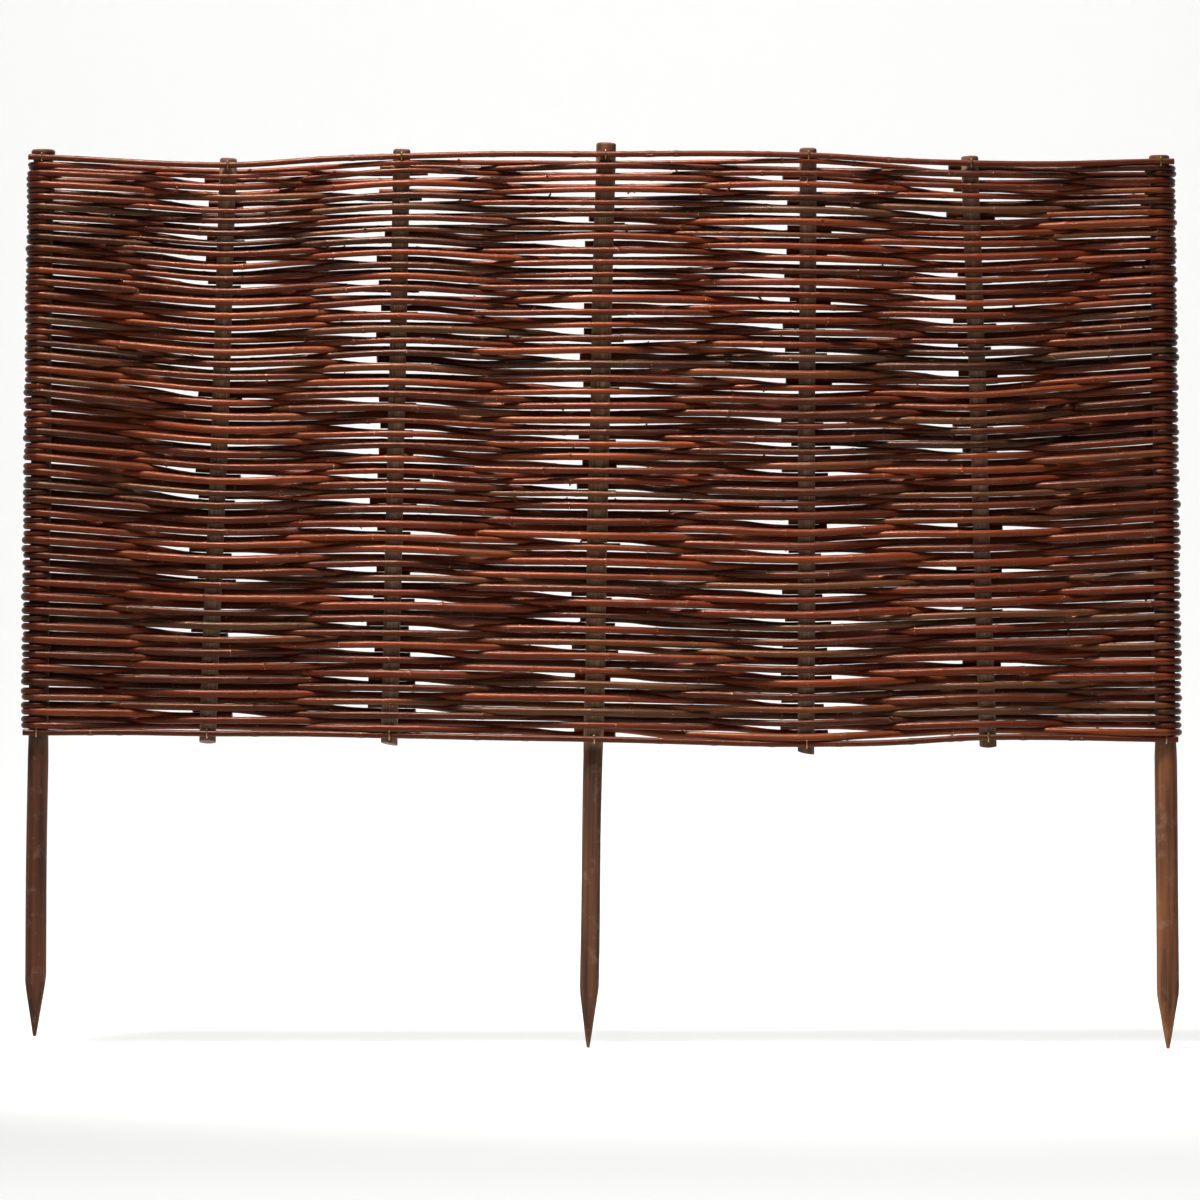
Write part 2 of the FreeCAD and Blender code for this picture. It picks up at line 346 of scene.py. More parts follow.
        shader = add(
            tree,
            "ShaderNodeBsdfPrincipled",
            {
                "Base Color": colour.outputs[MIXED_COLOUR],
                "Roughness": gloss.outputs[0],
                "IOR": self.ior,
                "Specular Tint": linear(self.sheen),
                "Normal": bump.outputs["Normal"],
            },
        )
        add(tree, "ShaderNodeOutputMaterial", {"Surface": shader.outputs["BSDF"]})
        return material


@dataclass(frozen=True)
class PoleBark:
    """Round softwood pole in thin bark, stained brown: fine upright grain, grey mottling in the weave.

    In the weave it takes its weathering colours, grey mottled; on the sails and the centre stake these are
    lightened as painted light against the shade of the rods in front. Under the ground line and over the
    weave it is cleaner and browner, and the mottling stops.
    """

    name: str
    wood: tuple[str, str]
    # colours in the weave; on the sails and the centre stake they are lightened as painted light against the
    # rods' shade
    weathering_and_painted_light: tuple[str, str]
    # colour of the pale patches of painted sheen
    painted_sheen: str = "#8d7667"
    grain_length: float = 90.0
    grain_width: float = 1.6
    strip_length: float = 150.0
    strip_width: float = 7.0
    mottle: float = 16.0
    ground_blend: float = 14.0
    weave_range: tuple[float, float] = (0.0, 603.0)
    relief: float = 0.35
    strip_part: float = 0.65
    most_painted_sheen: float = 0.34
    roughness: tuple[float, float] = (0.55, 0.8)
    ior: float = 1.3

    def material(self) -> bpy.types.Material:
        """The bark as a material that reads the pole's own grain and its height."""
        material, tree = blank_material(self.name)
        grain = add(tree, "ShaderNodeAttribute", attribute_name="grain").outputs["Vector"]
        place = add(tree, "ShaderNodeTexCoord").outputs["Object"]
        height = add(tree, "ShaderNodeSeparateXYZ", {"Vector": place}).outputs["Z"]
        stretch = (1 / self.grain_length, 1 / self.grain_width, 1 / self.grain_width)
        fibre = add(
            tree,
            "ShaderNodeVectorMath",
            {"Vector": grain, "Vector_001": stretch},
            operation="MULTIPLY",
        )
        lines = add(
            tree,
            "ShaderNodeTexNoise",
            {"Vector": fibre.outputs[0], "Scale": 1.0, "Detail": 6.0, "Roughness": 0.6},
        )
        patches = add(
            tree,
            "ShaderNodeTexNoise",
            {"Vector": grain, "Scale": 1 / self.mottle, "Detail": 6.0, "Roughness": 0.65},
        )
        # painted light and shade: broad lighter and darker strips along the pole stand for lit and shaded
        # facets
        broad = (1 / self.strip_length, 1 / self.strip_width, 1 / self.strip_width)
        faces = add(
            tree,
            "ShaderNodeVectorMath",
            {"Vector": grain, "Vector_001": broad},
            operation="MULTIPLY",
        )
        strips = add(tree, "ShaderNodeTexNoise", {"Vector": faces.outputs[0], "Scale": 1.0, "Detail": 1.0})
        share = {"From Min": 0.3, "From Max": 0.72}
        line_share = add(tree, "ShaderNodeMapRange", {"Value": lines.outputs["Fac"], **share})
        patch_share = add(tree, "ShaderNodeMapRange", {"Value": patches.outputs["Fac"], **share})
        strip_share = add(
            tree, "ShaderNodeMapRange", {"Value": strips.outputs["Fac"], "From Min": 0.36, "From Max": 0.62}
        )
        # mix of the fine grain lines and the painted facet light and shade strips
        stain_and_facet_shade_share = add(
            tree,
            "ShaderNodeMix",
            {
                "Factor_Float": self.strip_part,
                "A_Float": line_share.outputs[0],
                "B_Float": strip_share.outputs[0],
            },
            data_type="FLOAT",
        )
        stain_with_facet_shade = add(
            tree,
            "ShaderNodeMix",
            {
                "Factor_Float": stain_and_facet_shade_share.outputs[0],
                "A_Color": linear(self.wood[0]),
                "B_Color": linear(self.wood[1]),
            },
            data_type="RGBA",
        )
        # painted sheen: pale grey patches mixed into the pole's colour
        painted_sheen_range = {
            "Value": patches.outputs["Fac"],
            "From Min": 0.54,
            "From Max": 0.72,
            "To Max": self.most_painted_sheen,
        }
        painted_sheen_share = add(tree, "ShaderNodeMapRange", painted_sheen_range)
        clean = add(
            tree,
            "ShaderNodeMix",
            {
                "Factor_Float": painted_sheen_share.outputs[0],
                "A_Color": stain_with_facet_shade.outputs[MIXED_COLOUR],
                "B_Color": linear(self.painted_sheen),
            },
            data_type="RGBA",
        )
        both = add(
            tree,
            "ShaderNodeMath",
            {"Value": line_share.outputs[0], "Value_001": patch_share.outputs[0]},
            operation="MULTIPLY",
        )
        # weave colours: grey mottling, lightened on the sails and the centre stake as painted light against
        # the rods' shade
        grey = add(
            tree,
            "ShaderNodeMix",
            {
                "Factor_Float": both.outputs[0],
                "A_Color": linear(self.weathering_and_painted_light[0]),
                "B_Color": linear(self.weathering_and_painted_light[1]),
            },
            data_type="RGBA",
        )
        blend = self.ground_blend * MM / 2
        foot, top = self.weave_range[0] * MM, self.weave_range[1] * MM
        foot_range = {"From Min": foot - blend, "From Max": foot + blend}
        top_range = {"From Min": top + blend, "From Max": top - blend}
        over = add(tree, "ShaderNodeMapRange", {"Value": height, **foot_range})
        under = add(tree, "ShaderNodeMapRange", {"Value": height, **top_range})
        woven = add(
            tree,
            "ShaderNodeMath",
            {"Value": over.outputs[0], "Value_001": under.outputs[0]},
            operation="MULTIPLY",
        )
        colour = add(
            tree,
            "ShaderNodeMix",
            {
                "Factor_Float": woven.outputs[0],
                "A_Color": clean.outputs[MIXED_COLOUR],
                "B_Color": grey.outputs[MIXED_COLOUR],
            },
            data_type="RGBA",
        )
        low, high = self.roughness
        gloss_range = {"Value": patches.outputs["Fac"], "To Min": low, "To Max": high}
        rough = add(tree, "ShaderNodeMapRange", gloss_range)
        bump = add(
            tree,
            "ShaderNodeBump",
            {"Height": lines.outputs["Fac"], "Distance": self.relief * MM, "Strength": 0.9},
        )
        shader = add(
            tree,
            "ShaderNodeBsdfPrincipled",
            {
                "Base Color": colour.outputs[MIXED_COLOUR],
                "Roughness": rough.outputs[0],
                "IOR": self.ior,
                "Normal": bump.outputs["Normal"],
            },
        )
        add(tree, "ShaderNodeOutputMaterial", {"Surface": shader.outputs["BSDF"]})
        return material


@dataclass(frozen=True)
class CutWood:
    """Sawn or snipped willow end: sapwood gone tan with age, specked with dark stain."""

    name: str = "snipped_willow_end"
    sapwood: str = "#7d5b3f"
    stain: str = "#2f1c12"
    speck: float = 1.4
    roughness: float = 0.75

    def material(self) -> bpy.types.Material:
        """The cut end as a material with specks of stain."""
        material, tree = blank_material(self.name)
        grain = add(tree, "ShaderNodeAttribute", attribute_name="grain").outputs["Vector"]
        specks = add(tree, "ShaderNodeTexNoise", {"Vector": grain, "Scale": 1 / self.speck, "Detail": 4.0})
        colour = add(
            tree,
            "ShaderNodeMix",
            {
                "Factor_Float": specks.outputs["Fac"],
                "A_Color": linear(self.sapwood),
                "B_Color": linear(self.stain),
            },
            data_type="RGBA",
        )
        shader = add(
            tree,
            "ShaderNodeBsdfPrincipled",
            {"Base Color": colour.outputs[MIXED_COLOUR], "Roughness": self.roughness},
        )
        add(tree, "ShaderNodeOutputMaterial", {"Surface": shader.outputs["BSDF"]})
        return material


@dataclass(frozen=True)
class StapleWire:
    """Drawn steel wire with a thin brass-coloured plate: bright, with fine draw marks along it."""

    name: str = "plated_staple_wire"
    bright: str = "#e3c68c"
    dull: str = "#8d713d"
    mark: float = 0.8
    roughness: float = 0.3

    def material(self) -> bpy.types.Material:
        """The wire as a metal with dull patches."""
        material, tree = blank_material(self.name)
        grain = add(tree, "ShaderNodeAttribute", attribute_name="grain").outputs["Vector"]
        marks = add(tree, "ShaderNodeTexNoise", {"Vector": grain, "Scale": 1 / self.mark, "Detail": 3.0})
        colour = add(
            tree,
            "ShaderNodeMix",
            {
                "Factor_Float": marks.outputs["Fac"],
                "A_Color": linear(self.bright),
                "B_Color": linear(self.dull),
            },
            data_type="RGBA",
        )
        shader = add(
            tree,
            "ShaderNodeBsdfPrincipled",
            {"Base Color": colour.outputs[MIXED_COLOUR], "Metallic": 1.0, "Roughness": self.roughness},
        )
        add(tree, "ShaderNodeOutputMaterial", {"Surface": shader.outputs["BSDF"]})
        return material


@dataclass
class RodLine:
    """Centre line of one rod, wire or snag, with what its skin needs at each point.

    Args:
        points: Places along the line, one row each.
        radii: Half the thickness at each point.
        tone: Place of the rod's colour among the bark's shades, from 0 to 1.
        knots: How far each point is within a bud ring, from 0 to 1, or below 0 on a bend round an end stake,
            for painted shade.
    """

    points: np.ndarray
    radii: np.ndarray
    tone: float
    knots: np.ndarray

    def along(self) -> np.ndarray:
        """Distance from the start to each point, begun at a place of the rod's own."""
        steps = np.linalg.norm(np.diff(self.points, axis=0), axis=1)
        own_start = 4000 * self.tone
        return own_start + np.concatenate([[0.0], np.cumsum(steps)])


@dataclass
class RodSkin:
    """Lays a round skin with flat cut ends along centre lines, by Geometry Nodes.

    Args:
        lump_length: Length of the gentle lumps in the skin.
        seed: Place in the noise that shapes the lumps.
    """

    lump_length: float = 10.0
    seed: float = 3.7
    tree: bpy.types.NodeTree = field(init=False)

    def __post_init__(self) -> None:
        """Builds the tree once for every bundle."""
        tree = bpy.data.node_groups.new("rod_skin", "GeometryNodeTree")
        sockets = (
            ("Lines", "NodeSocketGeometry"),
            ("Sides", "NodeSocketInt"),
            ("Lumps", "NodeSocketFloat"),
            ("Skin", "NodeSocketMaterial"),
            ("Cut end", "NodeSocketMaterial"),
        )
        for name, kind in sockets:
            tree.interface.new_socket(name=name, in_out="INPUT", socket_type=kind)
        tree.interface.new_socket(name="Mesh", in_out="OUTPUT", socket_type="NodeSocketGeometry")
        given = add(tree, "NodeGroupInput").outputs
        curve = add(tree, "GeometryNodeMeshToCurve", {"Mesh": given["Lines"]})
        radius = add(tree, "GeometryNodeInputNamedAttribute", {"Name": "radius_mm"}, data_type="FLOAT")
        along = add(tree, "GeometryNodeInputNamedAttribute", {"Name": "along_mm"}, data_type="FLOAT")
        side = add(tree, "GeometryNodeInputNamedAttribute", {"Name": "side"}, data_type="FLOAT_VECTOR")
        metres = add(
            tree,
            "ShaderNodeMath",
            {"Value": radius.outputs["Attribute"], "Value_001": MM},
            operation="MULTIPLY",
        )
        ring = add(tree, "GeometryNodeCurvePrimitiveCircle", {"Resolution": given["Sides"], "Radius": 1.0})
        ring_place = add(tree, "GeometryNodeInputPosition")
        profile = add(
            tree,
            "GeometryNodeStoreNamedAttribute",
            {"Geometry": ring.outputs["Curve"], "Name": "side", "Value": ring_place.outputs[0]},
            data_type="FLOAT_VECTOR",
            domain="POINT",
        )
        skin = add(
            tree,
            "GeometryNodeCurveToMesh",
            {
                "Curve": curve.outputs["Curve"],
                "Profile Curve": profile.outputs["Geometry"],
                "Scale": metres.outputs[0],
                "Fill Caps": True,
            },
        )
        offset = add(
            tree,
            "ShaderNodeVectorMath",
            {"Vector": side.outputs["Attribute"], "Scale": radius.outputs["Attribute"]},
            operation="SCALE",
        )
        across = add(tree, "ShaderNodeSeparateXYZ", {"Vector": offset.outputs[0]})
        grain = add(
            tree,
            "ShaderNodeCombineXYZ",
            {"X": along.outputs["Attribute"], "Y": across.outputs["X"], "Z": across.outputs["Y"]},
        )
        grained = add(
            tree,
            "GeometryNodeStoreNamedAttribute",
            {"Geometry": skin.outputs["Mesh"], "Name": "grain", "Value": grain.outputs[0]},
            data_type="FLOAT_VECTOR",
            domain="POINT",
        )
        noise = add(
            tree,
            "ShaderNodeTexNoise",
            {"Vector": grain.outputs[0], "W": self.seed, "Scale": 1 / self.lump_length, "Detail": 2.0},
            noise_dimensions="4D",
        )
        centred = add(
            tree,
            "ShaderNodeMath",
            {"Value": noise.outputs["Fac"], "Value_001": 0.5},
            operation="SUBTRACT",
        )
        height = add(
            tree,
            "ShaderNodeMath",
            {"Value": centred.outputs[0], "Value_001": given["Lumps"]},
            operation="MULTIPLY",
        )
        normal = add(tree, "GeometryNodeInputNormal")
        push = add(
            tree,
            "ShaderNodeVectorMath",
            {"Vector": normal.outputs["Normal"], "Scale": height.outputs[0]},
            operation="SCALE",
        )
        lumpy = add(
            tree,
            "GeometryNodeSetPosition",
            {"Geometry": grained.outputs["Geometry"], "Offset": push.outputs[0]},
        )
        corners = add(tree, "GeometryNodeInputMeshFaceNeighbors")
        is_cut = add(
            tree,
            "FunctionNodeCompare",
            {"A_INT": corners.outputs["Vertex Count"], "B_INT": 4},
            data_type="INT",
            operation="GREATER_THAN",
        )
        is_side = add(tree, "FunctionNodeBooleanMath", {"Boolean": is_cut.outputs[0]}, operation="NOT")
        smooth = add(
            tree,
            "GeometryNodeSetShadeSmooth",
            {"Geometry": lumpy.outputs["Geometry"], "Shade Smooth": is_side.outputs[0]},
            domain="FACE",
        )
        solid = add(tree, "GeometryNodeRealizeInstances", {"Geometry": smooth.outputs["Geometry"]})
        dressed = add(
            tree,
            "GeometryNodeSetMaterial",
            {"Geometry": solid.outputs["Geometry"], "Material": given["Skin"]},
        )
        ended = add(
            tree,
            "GeometryNodeSetMaterial",
            {
                "Geometry": dressed.outputs["Geometry"],
                "Selection": is_cut.outputs[0],
                "Material": given["Cut end"],
            },
        )
        result = tree.interface.items_tree["Mesh"].identifier
        add(tree, "NodeGroupOutput", {result: ended.outputs["Geometry"]})
        self.tree = tree

    def piece(
        self,
        name: str,
        lines: list[RodLine],
        sides: int,
        lumps: float,
        skin: bpy.types.Material,
        cut: bpy.types.Material,
    ) -> bpy.types.Object:
        """Makes one mesh from a bundle of centre lines.

        Args:
            name: The piece's name.
            lines: The centre lines.
            sides: Sides of the skin.
            lumps: Height of the lumps in the skin.
            skin: Finish of the skin.
            cut: Finish of the cut ends.

        Returns:
            The piece, at the origin.
        """
        counts = [len(line.points) for line in lines]
        starts = np.cumsum([0, *counts[:-1]])
        edges = [(at + step, at + step + 1) for at, count in zip(starts, counts) for step in range(count - 1)]
        mesh = bpy.data.meshes.new(name + "_lines")
        mesh.from_pydata(np.concatenate([line.points for line in lines]) * MM, edges, [])
        columns = {
            "radius_mm": [line.radii for line in lines],
            "along_mm": [line.along() for line in lines],
            "tone": [np.full(len(line.points), line.tone) for line in lines],
            "knot": [line.knots for line in lines],
        }
        for column, values in columns.items():
            attribute = mesh.attributes.new(column, "FLOAT", "POINT")
            attribute.data.foreach_set("value", np.concatenate(values).astype(np.float32))
        carrier = bpy.data.objects.new(name, mesh)
        bpy.context.scene.collection.objects.link(carrier)
        modifier = carrier.modifiers.new("skin", "NODES")
        modifier.node_group = self.tree
        wanted = {"Sides": sides, "Lumps": lumps * MM, "Skin": skin, "Cut end": cut}
        for label, value in wanted.items():
            modifier[self.tree.interface.items_tree[label].identifier] = value
        shown = carrier.evaluated_get(bpy.context.evaluated_depsgraph_get())
        made = bpy.data.meshes.new_from_object(shown)
        made.name = name
        carrier.modifiers.remove(modifier)
        carrier.data = made
        bpy.data.meshes.remove(mesh)
        return carrier


def fit(piece: bpy.types.Object, slot: Slot, *nodes: str) -> None:
    """Lets a piece stand for its solids and reports it.

    Args:
        piece: A finished mesh object.
        slot: The record's slot for its finish; not used.
        nodes: The CAD nodes that it stands for.
    """
    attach(piece, "root")
    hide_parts(*nodes)
    piece.data.calc_loop_triangles()
    LOG.info("%s: %d triangles", piece.name, len(piece.data.loop_triangles))


@dataclass
class Upright:
    """A stake or sail as the solids have it.

    Args:
        node: Its CAD node.
        foot: Middle of its lowest end.
        head: Middle of its highest end.
        radius: Half its thickness within the weave.
    """

    node: str
    foot: np.ndarray
    head: np.ndarray
    radius: float

    @classmethod
    def measured(cls, node: str) -> "Upright":
        """Reads an upright from the vertices of its CAD node."""
        points = node_points(node)
        rim = 0.6
        height = points[:, 2]
        ends = []
        for ring in (points[height < height.min() + rim], points[height > height.max() - rim]):
            ends.append(np.array([middle(ring[:, axis]) for axis in range(3)]))
        woven = points[height > 20]
        return cls(node, ends[0], ends[1], float(np.ptp(woven[:, 1])) / 2)

    def axis(self, share: np.ndarray) -> np.ndarray:
        """Points on the axis at shares of the way from foot to head."""
        return self.foot + np.asarray(share)[:, None] * (self.head - self.foot)

    def x_at(self, height: float) -> float:
        """X of the axis at a height."""
        share = (height - self.foot[2]) / (self.head[2] - self.foot[2])
        return float(self.foot[0] + share * (self.head[0] - self.foot[0]))


@dataclass
class Pole:
    """A round pole over an upright's solid: bark, cut head, and a hewn point or a sawn foot.

    Args:
        upright: The solid that it stands for.
        tone: Place of the pole in the noise of its bark.
    """

    upright: Upright
    tone: float
    sides: int = 30
    ring_step: float = 7.0
    point_length: float = 60.0
    point_width: float = 3.2
    point_cuts: int = 6
    head_round: float = 2.4
    head_flare: float = 0.0
    flare_height: float = 7.0
    foot_tilt: float = 2.0
    swell: float = 0.32
    shoulder: float = 22.0

    def spike(self) -> tuple[float, float]:
        """Radius and length of the straight leg, or of nothing for a sail."""
        mount = SPIKES.get(self.upright.node)
        for stated in frame["record"]["mounts"]:
            if stated["name"] == mount:
                return stated["dims"]["r_mm"], stated["dims"]["length_mm"]
        return self.upright.radius, 0.0

    def outline(self, length: float) -> tuple[np.ndarray, np.ndarray]:
        """Heights of the rings above the lowest end, and the pole's radius at each.

        Args:
            length: The pole's length along its axis.

        Returns:
            The heights and the radii before any cut.
        """
        leg_radius, leg_length = self.spike()
        low_rings = np.arange(0, length - self.flare_height - self.ring_step, self.ring_step)
        inner = np.append(low_rings, np.arange(length - self.flare_height, length - self.head_round, 1.2))
        bend = np.linspace(0, 1, 5)
        heights = np.concatenate([inner, length - self.head_round * (1 - np.sin(bend * math.pi / 2))])
        radii = np.full(len(heights), self.upright.radius)
        if leg_length:
            ground = self.point_length + leg_length
            share = np.clip((heights - ground) / self.shoulder + 0.5, 0, 1)
            radii = leg_radius + (self.upright.radius - leg_radius) * share
        spread = np.clip((heights - length) / self.flare_height + 1, 0, 1)
        radii = radii + self.head_flare * np.sqrt(spread)
        drop = np.clip((heights - length + self.head_round) / self.head_round, 0, 1)
        return heights, radii - self.head_round * (1 - np.sqrt(1 - drop**2))

    def rings(self) -> tuple[np.ndarray, np.ndarray]:
        """Points of the skin and their places along and across the grain.

        Returns:
            Two arrays of rings by sides by three.
        """
        chance = np.random.default_rng(int(self.tone * 1000))
        line = self.upright.head - self.upright.foot
        length = float(np.linalg.norm(line))
        heights, radii = self.outline(length)
        angle = np.linspace(0, 2 * math.pi, self.sides, endpoint=False)
        turn, along = np.meshgrid(angle, heights)
        skin = np.repeat(radii[:, None], self.sides, axis=1)
        for lobes in (1, 2, 3, 5):
            phase, span = chance.uniform(0, 6.28), chance.uniform(25, 110)
            skin += self.swell / lobes * np.sin(lobes * turn + along / span + phase)
        leg_length = self.spike()[1]
        if leg_length:
            flat = self.point_width / 2 + (self.spike()[0] - self.point_width / 2) * along / self.point_length
            sector = 2 * math.pi / self.point_cuts
            off = (turn + sector / 2) % sector - sector / 2
            skin = np.minimum(skin, flat / np.cos(off))
        else:
            lowest = along == heights[0]
            along = along + lowest * self.foot_tilt * np.cos(turn + 6 * self.tone)
        up = line / length
        side = np.cross([0.0, 1.0, 0.0], up)
        crook = 0.8 * np.sin(math.pi * heights / length) * math.sin(9 * self.tone)
        spine = self.upright.axis(np.zeros(1)) + along[..., None] * up + crook[:, None, None] * side
        across = np.stack([np.zeros_like(turn), skin * np.cos(turn), skin * np.sin(turn)], axis=-1)
        points = spine + across[..., 1:2] * side + across[..., 2:3] * np.array([0.0, 1.0, 0.0])
        across[..., 0] = along + 4000 * self.tone
        return points, across

    def build(self, bark: bpy.types.Material, cut: bpy.types.Material) -> bpy.types.Object:
        """Makes the pole's mesh and lets it stand for the upright.

        Args:
            bark: Finish of the sides.
            cut: Finish of the sawn ends.

        Returns:
            The pole.
        """
        points, grain = self.rings()
        count, sides = points.shape[:2]
        faces = []
        for ring in range(count - 1):
            for step in range(sides):
                after = (step + 1) % sides
                low, high = ring * sides, (ring + 1) * sides
                faces.append((low + step, low + after, high + after, high + step))
        faces.append(tuple(reversed(range(sides))))
        faces.append(tuple(range((count - 1) * sides, count * sides)))
        mesh = bpy.data.meshes.new(self.upright.node + "_pole")
        mesh.from_pydata(points.reshape(-1, 3) * MM, [], faces)
        mesh.attributes.new("grain", "FLOAT_VECTOR", "POINT").data.foreach_set("vector", grain.ravel())
        mesh.materials.append(bark)
        mesh.materials.append(cut)
        for face in mesh.polygons:
            is_end = len(face.vertices) > 4
            face.material_index = int(is_end)
            face.use_smooth = not is_end
        pole = bpy.data.objects.new(mesh.name, mesh)
        bpy.context.scene.collection.objects.link(pole)
        fit(pole, Slot.UPRIGHT, self.upright.node)
        return pole


@dataclass
class Length:
    """One cut length of willow within a course.

    Args:
        start: Number of the upright where it starts, from the left.
        finish: Number of the upright where it ends.
        radius: Half its mean thickness.
        taper: Share of the radius that it loses from left to right, or gains.
        tone: Place of its colour among the bark's shades.
    """

    start: int
    finish: int
    radius: float
    taper: float
    tone: float


@dataclass
class Weave:
    """The woven courses: lengths of willow in front of one upright and behind the next.

    Args:
        uprights: From the left to the right.
        lower: Height of the bottom binding rod at each upright.
        upper: Height of the top binding rod at each upright.
        binding_step: Step from the bottom and from the top binding rod to the nearest course.
        rod_radius: Mean radius of the lowest and of the highest course.
        low_rise: Rise of front rods and fall of back rods at each upright, in the lowest course.
        top_rise: The same in the highest course.
        rise_spread: Spread of that rise in the lowest and in the highest course.
        end_calm: Share of the spread that is left at the end stakes.
        bend_flat: Share of the radius at the start and the end of a bend round an end stake.
        tuck: Least and greatest length of an end past the upright that hides it.
        tail: The same for an end behind an end stake.
    """

    uprights: list[Upright]
    lower: np.ndarray
    upper: np.ndarray
    courses: int = 89
    binding_step: tuple[float, float] = (6.8, 6.5)
    rod_radius: tuple[float, float] = (3.94, 3.31)
    radius_spread: float = 0.36
    taper: float = 0.16
    rod_fit: float = 0.2
    low_rise: tuple[float, ...] = (0.5, 0.1, 0.0, 0.1, -0.2, -0.1, -0.1)
    top_rise: tuple[float, ...] = (-0.3, 0.1, 1.3, 0.8, 0.4, 0.4, -0.2)
    rise_spread: tuple[float, float] = (0.36, 0.9)
    end_calm: float = 0.4
    sag_spread: float = 0.18
    cross_spread: float = 0.15
    left_lift: float = 11.0
    right_lift: float = 14.0
    # knot value on the turns round the end stakes, which darkens their bark as painted shade
    bend_painted_shade: float = -0.75
    bend_flat: tuple[float, float] = (0.95, 0.78)
    wander: float = 0.22
    step: float = 5.0
    tuck: tuple[float, float] = (15.0, 27.0)
    tuck_span: float = 55.0
    tail: tuple[float, float] = (13.0, 19.0)
    radius_limits: tuple[float, float] = (2.5, 4.4)
    join_chance: float = 0.9
    cross_limit: float = 0.26
    wrap_step: float = 14.0
    wrap_past: tuple[float, float] = (34.0, 72.0)
    climb: float = 0.6
    bud_spacing: tuple[float, float] = (38.0, 112.0)
    bud_ring: float = 1.7
    bud_swell: tuple[float, float] = (0.15, 0.5)
    snag_share: float = 0.4
    snag_reach: tuple[float, float] = (0.8, 2.6)
    snag_lean: tuple[float, float] = (0.4, 1.2)
    snag_radius: tuple[float, float] = (0.55, 1.1)
    sides: int = 10
    lumps: float = 0.75
    seed: int = 23
    snags: list[RodLine] = field(default_factory=list)

    def __post_init__(self) -> None:
        """Cuts the lengths of willow and stacks them."""
        self.chance = np.random.default_rng(self.seed)
        self.rows: list[list[Length]] = []
        for course in range(self.courses):
            self.rows.append(self.cut_lengths(course))
        self.heights = self.stack()
        bays = len(self.uprights) - 1
        drawn = self.chance.normal(0, self.cross_spread, (self.courses, bays))
        self.crossings = np.clip(drawn, -self.cross_limit, self.cross_limit)

    def face(self, course: int, position: int) -> Face:
        """The side on which a course passes an upright."""
        return Face.FRONT if (course + position) % 2 == 0 else Face.BACK

    def cut_lengths(self, course: int) -> list[Length]:
        """Shares a course out among lengths that meet behind an upright, never twice running the same.

        Args:
            course: Number of the course from the bottom.

        Returns:
            The lengths from the left to the right.
        """
        last = len(self.uprights) - 1
        taken = [length.finish for length in self.rows[course - 2]] if course > 1 else []
        hidden = [at for at in range(1, last) if self.face(course, at) is Face.BACK and at not in taken]
        joins = []
        if self.chance.random() < self.join_chance:
            joins = [int(self.chance.choice(hidden))]
        ends = [0, *joins, last]
        lengths = []
        mean = np.interp(course, (0, self.courses - 1), self.rod_radius)
        for start, finish in zip(ends[:-1], ends[1:]):
            thick = float(np.clip(self.chance.normal(mean, self.radius_spread), *self.radius_limits))
            taper = self.taper * float(self.chance.choice([-1, 1])) * (finish - start) / last
            lengths.append(Length(start, finish, thick, taper, float(self.chance.beta(1.9, 1.9))))
        return lengths

    def radius(self, course: int, place: float) -> float:
        """Radius of a course's rod at a place counted in uprights from the left."""
        for length in self.rows[course]:
            if place <= length.finish:
                share = (place - length.start) / (length.finish - length.start) - 0.5
                return length.radius * (1 + length.taper * share)
        raise ValueError(f"place {place} is past the last upright")

    def stack(self) -> np.ndarray:
        """Heights of the courses at each upright and half way between uprights.

        Returns:
            One row for each course, with uprights in the even columns.
        """
        count = 2 * len(self.uprights) - 1
        places = np.arange(count) / 2
        lows = np.interp(places, range(len(self.lower)), self.lower) + self.binding_step[0]
        highs = np.interp(places, range(len(self.upper)), self.upper) - self.binding_step[1]
        heights = np.zeros((self.courses, count))
        for column, place in enumerate(places):
            radii = np.array([self.radius(course, place) for course in range(self.courses)])
            rises = np.concatenate([[0.0], np.cumsum(radii[1:] + radii[:-1])])
            heights[:, column] = lows[column] + (highs[column] - lows[column]) * rises / rises[-1]
        share = np.sin(math.pi * np.arange(self.courses) / (self.courses - 1))
        lifts = {0: self.left_lift, 1: self.left_lift / 2, -1: self.right_lift, -2: self.right_lift / 2}
        for column, lift in lifts.items():
            heights[:, column] += lift * share
        for course in range(self.courses):
            for position in range(len(self.uprights)):
                rise = (self.low_rise[position], self.top_rise[position])
                mean = np.interp(course, (0, self.courses - 1), rise)
                spread = np.interp(course, (0, self.courses - 1), self.rise_spread)
                if position in (0, len(self.uprights) - 1):
                    spread *= self.end_calm
                shift = self.chance.normal(mean, spread)
                heights[course, 2 * position] -= self.face(course, position).value * shift
        heights[:, 1::2] += self.chance.normal(0, self.sag_spread, (self.courses, len(self.uprights) - 1))
        return heights

